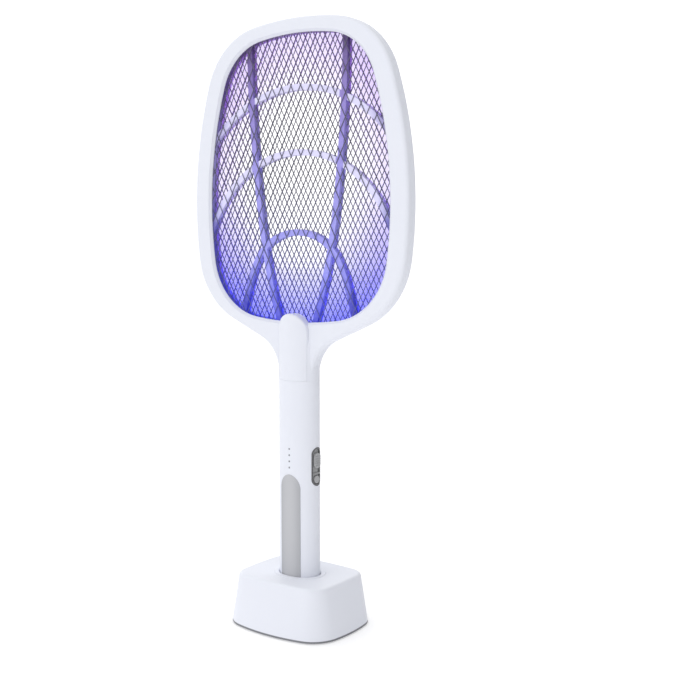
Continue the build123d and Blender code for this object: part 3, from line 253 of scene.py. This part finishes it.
white_abs = moulded_plastic("white_abs", ABS_WHITE, ABS_SHADE, 0.38)
refinish(white_abs, "head_front_frame", "head_rear_frame", "lamp_cover")
refinish(white_abs, "handle_front_shell", "handle_rear_shell", "handle_bottom_cap")
refinish(white_abs, "socket_collar", "socket_cup", "dock_base_plate", "battery_cradle")

# The dock's shell is the same plastic with a painted shadow line round its lowest edge,
# standing for the shade in the gap where it stands over the base plate.
PAINTED_SHADOW_LINE = (0.20, 0.205, 0.225, 1)
PAINTED_SHADOW_HEIGHT = 0.0011
PAINTED_SHADOW_BLEND = 0.0005

dock_abs = white_abs.copy()
dock_abs.name = "dock_abs"
dock_white, dock_shader = colour_of(dock_abs)
dock_height = surface_point(dock_white).along("z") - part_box("dock_shell")[0].z
# Painted shadow: the lowest strip of the shell is darkened to stand for the shade under it.
above_painted_shadow = ((dock_height - PAINTED_SHADOW_HEIGHT) / PAINTED_SHADOW_BLEND).clamped()
above_painted_shadow.mixed(PAINTED_SHADOW_LINE, dock_white).plug(dock_shader, "Base Color")
refinish(dock_abs, "dock_shell")

# ------------------------------------------------------------ the three grids
# Three flat metal sheets pierced in diamonds, with a dark coating, clamped by their
# rims between the frames. The strands glow with painted lamp light, bluest beside the lamp.

STRAND_GREY = (0.16, 0.16, 0.19, 1)
STRAND_DARK = (0.07, 0.07, 0.09, 1)
STRAND_PAINTED_GLOW = 0.55
EDGE_STARTS = 0.50
EDGE_WIDTH = 0.52

head_low, head_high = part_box("front_guard_mesh")
head_middle = (head_low + head_high) / 2
head_half = (head_high - head_low) / 2


def height_in_head(point):
    """How far up the head a point is: 0 beside the lamp, 1 at the top."""
    return ((point.along("z") - head_low.z) / (head_high.z - head_low.z)).clamped()


def nearness_to_frame(point):
    """0 in the middle of the head, growing to 1 beside the frame."""
    across = point.along("x") / head_half.x
    up = (point.along("z") - head_middle.z) / head_half.z
    reach = (across * across + up * up).maths("SQRT")
    return ((reach - EDGE_STARTS) / EDGE_WIDTH).clamped()


strand_coat, strand_flow, strand_shader = new_finish("strand_coat", {"Metallic": 0.55})
strand_point = surface_point(strand_flow)
speckle = noise(strand_point, 900.0)
speckle.mixed(STRAND_DARK, STRAND_GREY).plug(strand_shader, "Base Color")
glossed(speckle, 0.35, 0.2, strand_shader)
# Painted light: the strands glow blue low down and lilac high up, standing for the lamp's light on
# them.
strand_painted_lamp_light = height_in_head(strand_point).ramp(
    (0.0, (0.030, 0.040, 0.42)),
    (0.22, (0.028, 0.032, 0.20)),
    (0.5, (0.022, 0.022, 0.045)),
    (0.8, (0.035, 0.024, 0.060)),
    (1.0, (0.060, 0.036, 0.100)),
)
strand_painted_lamp_light.plug(strand_shader, "Emission Color")
strand_shader.inputs["Emission Strength"].default_value = STRAND_PAINTED_GLOW
refinish(strand_coat, "front_guard_mesh", "hv_grid", "rear_guard_mesh")

# ---------------------------------------------------------------- spacer frames
# Two insulating frames of translucent plastic keep the grids apart: two long ribs
# drawn together towards the lamp and three arches. The lamp's light on them is painted
# into their colour and their glow, painted shadow darkens them beside the frame, a random
# mottle darkens them here and there, and the two upper arches look paler than the ribs.

RIB_PAINTED_GLOW = 0.25
RIM_SHADOW = 0.75
MOTTLE_DARKENING = 0.45
SHADOW_CUT = 0.08
RIM_FADE_RATE = 3.0
RIM_FADE_START = 1.9
PALE_ARCH = (0.74, 0.72, 0.94, 1)
ARCH_LOWEST_Z = 0.340
ARCH_BLEND_Z = 0.004
LONG_RIB_TOP_X = 0.0495
LONG_RIB_TOP_Z = 0.500
LONG_RIB_BEND = 0.4385
LONG_RIB_HALF = 0.0036
LONG_RIB_BLEND = 0.0008

rib_plastic, rib_flow, rib_shader = new_finish("rib_plastic", {"Specular IOR Level": 0.3})
rib_point = surface_point(rib_flow)
rib_height = height_in_head(rib_point)
rib_rim = nearness_to_frame(rib_point)
rib_marks = noise(rib_point, 420.0, 4.0)
# Painted light: bluer low down beside the lamp and darker purple high up, for the lamp's light on the
# ribs.
rib_painted_lamp_tint = rib_height.ramp(
    (0.0, (0.200, 0.215, 0.90)),
    (0.2, (0.400, 0.400, 0.90)),
    (0.5, (0.400, 0.370, 0.84)),
    (0.8, (0.340, 0.270, 0.66)),
    (1.0, (0.260, 0.185, 0.46)),
)
rib_dark = rib_height.ramp(
    (0.0, (0.020, 0.022, 0.30)),
    (0.4, (0.090, 0.080, 0.26)),
    (1.0, (0.075, 0.042, 0.13)),
)
# Painted shadow darkens the ribs beside the frame; the noise marks add a random darker mottle.
painted_rim_shadow_and_mottle = rib_rim.maths("POWER", 3.0) * RIM_SHADOW + rib_marks * MOTTLE_DARKENING - SHADOW_CUT
rib_colour = painted_rim_shadow_and_mottle.clamped().mixed(rib_painted_lamp_tint, rib_dark)
rib_drop = LONG_RIB_TOP_Z - rib_point.along("z")
long_rib_x = LONG_RIB_TOP_X - rib_drop * rib_drop * LONG_RIB_BEND
off_long_rib = (rib_point.along("x").maths("ABSOLUTE") - long_rib_x).maths("ABSOLUTE")
beside_long_rib = ((off_long_rib - LONG_RIB_HALF) / LONG_RIB_BLEND).clamped()
above_low_arch = ((rib_point.along("z") - ARCH_LOWEST_Z) / ARCH_BLEND_Z).clamped()
clear_of_rim = 1.0 - (rib_rim * RIM_FADE_RATE - RIM_FADE_START).clamped()
upper_arch = beside_long_rib * above_low_arch * clear_of_rim
upper_arch.mixed(rib_colour, PALE_ARCH).plug(rib_shader, "Base Color")
glossed(rib_marks, 0.35, 0.25, rib_shader)
grained(rib_marks, 0.3, 0.0001, rib_shader)
# Painted light: the ribs glow with the lamp's light, bluest low down, though they are no lamp.
rib_painted_lamp_glow = rib_height.ramp(
    (0.0, (0.05, 0.06, 0.80)),
    (0.35, (0.06, 0.06, 0.30)),
    (1.0, (0.05, 0.03, 0.08)),
)
rib_painted_lamp_glow.plug(rib_shader, "Emission Color")
rib_shader.inputs["Emission Strength"].default_value = RIB_PAINTED_GLOW
refinish(rib_plastic, "front_spacer_frame", "rear_spacer_frame")

# --------------------------------------------------------- violet insect lamp
# Three violet lamps on a small board behind the tongue's dome, with a clear window.
# The real object has only their light in the head. Here a thin sheet behind the middle
# grid stands for it: blue low down and beside the frame, lilac higher up, clear between.

HAZE_NEAR_Y = 0.00040
HAZE_THICKNESS = 0.00020
HAZE_LOW_Z = 0.2550
HAZE_HIGH_Z = 0.4990
HAZE_LOW_HALF = 0.1020
HAZE_HIGH_HALF = 0.0870
HAZE_CORNER = 0.0540
HAZE_BLUE = (0.085, 0.11, 1.0, 1)
HAZE_LILAC = (0.42, 0.20, 0.85, 1)
HAZE_GLOW = 0.40
VEIL_IN_MIDDLE = 0.05
VEIL_AT_EDGE = 0.46
LAMP_GLOW = 3.0

haze_shape = bmesh.new()
bmesh.ops.create_grid(haze_shape, x_segments=1, y_segments=1, size=1.0)
for corner in haze_shape.verts:
    upper = corner.co.y > 0
    half = HAZE_HIGH_HALF if upper else HAZE_LOW_HALF
    side = 1 if corner.co.x > 0 else -1
    corner.co = (side * half, HAZE_NEAR_Y, HAZE_HIGH_Z if upper else HAZE_LOW_Z)
bmesh.ops.bevel(
    haze_shape,
    geom=haze_shape.verts[:],
    offset=HAZE_CORNER,
    offset_type="OFFSET",
    segments=16,
    profile=0.5,
    affect="VERTICES",
    material=-1,
)
grown = bmesh.ops.extrude_face_region(haze_shape, geom=haze_shape.faces[:])
moved = [item for item in grown["geom"] if isinstance(item, bmesh.types.BMVert)]
bmesh.ops.translate(haze_shape, verts=moved, vec=(0, HAZE_THICKNESS, 0))
bmesh.ops.recalc_face_normals(haze_shape, faces=haze_shape.faces[:])

lamp_haze, haze_flow, haze_shader = new_finish(
    "lamp_haze", {"Specular IOR Level": 0.0, "Roughness": 0.9, "Emission Strength": HAZE_GLOW}
)
haze_point = surface_point(haze_flow)
haze_height = height_in_head(haze_point)
haze_edge = nearness_to_frame(haze_point)
blue_share = haze_height.ramp(
    (0.0, 1.0),
    (0.15, 0.80),
    (0.33, 0.42),
    (0.5, 0.12),
    (0.64, 0.0),
)
lilac_share = haze_height.ramp((0.2, 0.10), (0.5, 0.22), (0.78, 0.36), (1.0, 0.30))
haze_tint = blue_share.mixed(HAZE_LILAC, HAZE_BLUE)
haze_tint.plug(haze_shader, "Base Color")
haze_tint.plug(haze_shader, "Emission Color")
blue_veil = blue_share * (VEIL_IN_MIDDLE + VEIL_AT_EDGE * haze_edge)
lilac_veil = lilac_share * haze_edge
(blue_veil + lilac_veil).clamped().plug(haze_shader, "Alpha")

haze_mesh = bpy.data.meshes.new("lamp_haze")
haze_shape.to_mesh(haze_mesh)
haze_shape.free()
haze_mesh.materials.append(lamp_haze)
haze_sheet = bpy.data.objects.new("lamp_haze", haze_mesh)
bpy.context.scene.collection.objects.link(haze_sheet)
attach(haze_sheet, "racket")

# The window over the lamps, and the lamps themselves, alight.
lamp_glass, glass_flow, glass_shader = new_finish(
    "lamp_glass", {"Transmission Weight": 0.85, "IOR": 1.49}
)
glass_noise = noise(surface_point(glass_flow), 300.0)
glass_noise.mixed((0.80, 0.80, 0.95, 1), (0.88, 0.88, 1.0, 1)).plug(glass_shader, "Base Color")
glossed(glass_noise, 0.05, 0.06, glass_shader)
refinish(lamp_glass, "lamp_lens")

violet_lamp, lamp_flow, lamp_shader = new_finish(
    "violet_lamp", {"Roughness": 0.2, "Emission Strength": LAMP_GLOW}
)
lamp_noise = noise(surface_point(lamp_flow), 500.0)
lamp_noise.mixed((0.30, 0.20, 1.0, 1), (0.45, 0.35, 1.0, 1)).plug(lamp_shader, "Base Color")
lamp_noise.mixed((0.20, 0.12, 1.0, 1), (0.38, 0.26, 1.0, 1)).plug(lamp_shader, "Emission Color")
refinish(violet_lamp, "uv_leds")

# ------------------------------------------------------------------ grip pad
# A long grey thermoplastic-rubber pad let into the front of the handle, arched at
# the top, with a matt spark-eroded face that stands slightly proud; painted shade darkens its sides.

PAD_GREY = (0.545, 0.550, 0.575)
PAD_SHADE = (0.505, 0.511, 0.536)
PAD_PAINTED_SHADE = (0.420, 0.428, 0.455, 1)
PAD_GRAIN_SCALE = 1500.0
PAD_GRAIN = 0.00008

pad_rubber = moulded_plastic("pad_rubber", PAD_GREY, PAD_SHADE, 0.60, PAD_GRAIN_SCALE, PAD_GRAIN)
pad_grey, pad_shader = colour_of(pad_rubber)
pad_across = surface_point(pad_grey).along("x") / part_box("grip_pad")[1].x
# Painted shade: the pad darkens towards both side edges, as its rounded face would in shade.
(pad_across * pad_across).clamped().mixed(pad_grey, PAD_PAINTED_SHADE).plug(pad_shader, "Base Color")
refinish(pad_rubber, "grip_pad")

# --------------------------------------------------------------- switch panel
# A grey bezel let into the side of the handle: a ridged slide picks the mode and a
# round button below it fires the grid. Painted shadow darkens the rim, standing for the
# shaded gap round the bezel, against the grey floor inside it.

PANEL_CENTRE_Z = 0.13665
PANEL_STRAIGHT_HALF = 0.0106
RIM_STARTS = 0.00455
RIM_BLEND = 0.0005
BEZEL_PAINTED_SHADOW = (0.10, 0.10, 0.108, 1)
FLOOR_GREY = (0.34, 0.345, 0.355, 1)
FLOOR_SHADE = (0.26, 0.265, 0.275, 1)
KNOB_GREY = (0.44, 0.445, 0.460)
KNOB_SHADE = (0.38, 0.385, 0.400)

panel_plastic, panel_flow, panel_shader = new_finish("panel_plastic", {"Specular IOR Level": 0.4})
panel_point = surface_point(panel_flow)
panel_y = panel_point.along("y")
panel_height = (panel_point.along("z") - PANEL_CENTRE_Z).maths("ABSOLUTE")
beyond = (panel_height - PANEL_STRAIGHT_HALF).maths("MAXIMUM", 0.0)
from_spine = (beyond * beyond + panel_y * panel_y).maths("SQRT")
# Painted shadow: a dark band along the bezel's outer edge stands for the shaded gap round it.
bezel_shadow_band = ((from_spine - RIM_STARTS) / RIM_BLEND).clamped()
panel_marks = noise(panel_point, 700.0, 3.0)
panel_floor = panel_marks.mixed(FLOOR_SHADE, FLOOR_GREY)
bezel_shadow_band.mixed(panel_floor, BEZEL_PAINTED_SHADOW).plug(panel_shader, "Base Color")
glossed(panel_marks, 0.35, 0.15, panel_shader)
grained(panel_marks, 0.2, 0.00004, panel_shader)
refinish(panel_plastic, "switch_bezel")

knob_plastic = moulded_plastic("knob_plastic", KNOB_GREY, KNOB_SHADE, 0.42)
refinish(knob_plastic, "slide_knob", "push_button")

# ----------------------------------------------------------- charge indicators
# Four clear rods end flush with the front of the handle above the pad, over small
# white lamps on the board, and read as grey dots while they are off.

rod_plastic, rod_flow, rod_shader = new_finish(
    "rod_plastic", {"IOR": 1.49, "Specular IOR Level": 0.5}
)
rod_noise = noise(surface_point(rod_flow), 800.0)
rod_noise.mixed((0.20, 0.21, 0.24, 1), (0.28, 0.29, 0.32, 1)).plug(rod_shader, "Base Color")
glossed(rod_noise, 0.2, 0.1, rod_shader)
refinish(rod_plastic, "indicator_light_pipe")
chip_lamp = moulded_plastic("chip_lamp", (0.85, 0.85, 0.75), (0.78, 0.78, 0.66), 0.3)
refinish(chip_lamp, "indicator_leds")

# ------------------------------------------------------------------- fasteners
# Zinc-plated self-tapping screws hold the frame, the handle and the dock together;
# their heads are brushed by the driver.

METAL_SWING = 0.2

def turned_metal(name, colour, dark, roughness, scale=1800.0):
    """Plated metal with a fine mottled polish."""
    material, flow, shader = new_finish(name, {"Metallic": 1.0})
    marks = noise(surface_point(flow), scale, 3.0)
    marks.mixed((*dark, 1), (*colour, 1)).plug(shader, "Base Color")
    glossed(marks, roughness - METAL_SWING / 2, METAL_SWING, shader)
    return material


screw_zinc = turned_metal("screw_zinc", (0.62, 0.62, 0.60), (0.48, 0.48, 0.47), 0.38)
refinish(screw_zinc, "head_screws", "handle_screws", "dock_screws")

# --------------------------------------------------------- charging contacts
# Two gold-plated brass pins on springs in the dock meet two studs in the foot of the
# handle; a small steel inlet on the back edge of the dock takes the charging lead.

contact_gold = turned_metal("contact_gold", (0.83, 0.62, 0.28), (0.70, 0.50, 0.21), 0.25)
refinish(contact_gold, "contact_pin_left", "contact_pin_right", "contact_studs")
spring_steel = turned_metal("spring_steel", (0.70, 0.70, 0.70), (0.58, 0.58, 0.58), 0.28)
refinish(spring_steel, "pin_spring_left", "pin_spring_right", "usb_inlet", "battery_tabs")
black_nylon = moulded_plastic("black_nylon", (0.030, 0.030, 0.032), (0.022, 0.022, 0.024), 0.5)
refinish(black_nylon, "pin_block", "usb_contact_tongue", "slide_switch_body", "tact_switch")

# ------------------------------------------------------------------ dock feet
# Four dark silicone-rubber feet stuck under the dock keep it from sliding.

FOOT_GREY = (0.09, 0.09, 0.095)
FOOT_SHADE = (0.07, 0.07, 0.074)
foot_rubber = moulded_plastic("foot_rubber", FOOT_GREY, FOOT_SHADE, 0.7, grain_scale=1200.0)
refinish(foot_rubber, "dock_feet")

# ------------------------------------------------------ electronics in the handle
# A step-up transformer, a film capacitor, diodes and a charging chip on one green
# glass-fibre board over a lithium cell in its heat-shrunk wrap.

RESIST_GREEN = (0.020, 0.150, 0.065, 1)
RESIST_DARK = (0.012, 0.105, 0.045, 1)
COPPER_RUN = (0.060, 0.230, 0.100, 1)
CASINGS = (
    ("transformer_core", "ferrite", (0.060, 0.058, 0.056), (0.042, 0.040, 0.039), 0.6),
    ("transformer_winding", "winding_tape", (0.75, 0.58, 0.08), (0.66, 0.49, 0.05), 0.4),
    ("hv_capacitor", "capacitor_epoxy", (0.36, 0.07, 0.03), (0.28, 0.05, 0.02), 0.3),
    ("rectifier_diodes", "chip_epoxy", (0.030, 0.030, 0.034), (0.020, 0.020, 0.023), 0.55),
    ("charge_controller_chip", "chip_body", (0.034, 0.034, 0.038), (0.022, 0.022, 0.026), 0.5),
    ("battery_cell", "cell_wrap", (0.06, 0.22, 0.55), (0.05, 0.18, 0.47), 0.28),
    ("switch_lever", "lever_nylon", (0.72, 0.72, 0.70), (0.66, 0.66, 0.64), 0.5),
)


def board_finish(name):
    """Green solder resist with copper runs showing through it."""
    material, flow, shader = new_finish(name, {"Specular IOR Level": 0.5})
    point = surface_point(flow)
    sockets = {"Vector": point, "Scale": 260.0, "Mortar Size": 0.06}
    runs = flow.node("TexBrick", {"offset": 0.5}, sockets, output=1)
    resist = noise(point, 90.0, 4.0).mixed(RESIST_DARK, RESIST_GREEN)
    runs.mixed(resist, COPPER_RUN).plug(shader, "Base Color")
    glossed(runs, 0.3, 0.15, shader)
    return material


refinish(board_finish("circuit_board"), "main_pcb", "dock_pcb", "uv_led_board")
for casing, finish_name, colour, dark_colour, roughness in CASINGS:
    refinish(moulded_plastic(finish_name, colour, dark_colour, roughness), casing)

# ----------------------------------------------------------------------- wiring
# Stranded copper in PVC insulation: red from the transformer to the middle grid,
# black to the guards, and thin pairs to the lamps, the cell and the studs.

red_pvc = moulded_plastic("red_pvc", (0.52, 0.030, 0.025), (0.44, 0.022, 0.018), 0.4)
black_pvc = moulded_plastic("black_pvc", (0.028, 0.028, 0.030), (0.020, 0.020, 0.022), 0.4)
refinish(red_pvc, "hv_lead", "battery_leads")
refinish(black_pvc, "ground_lead", "lamp_leads", "charge_leads")
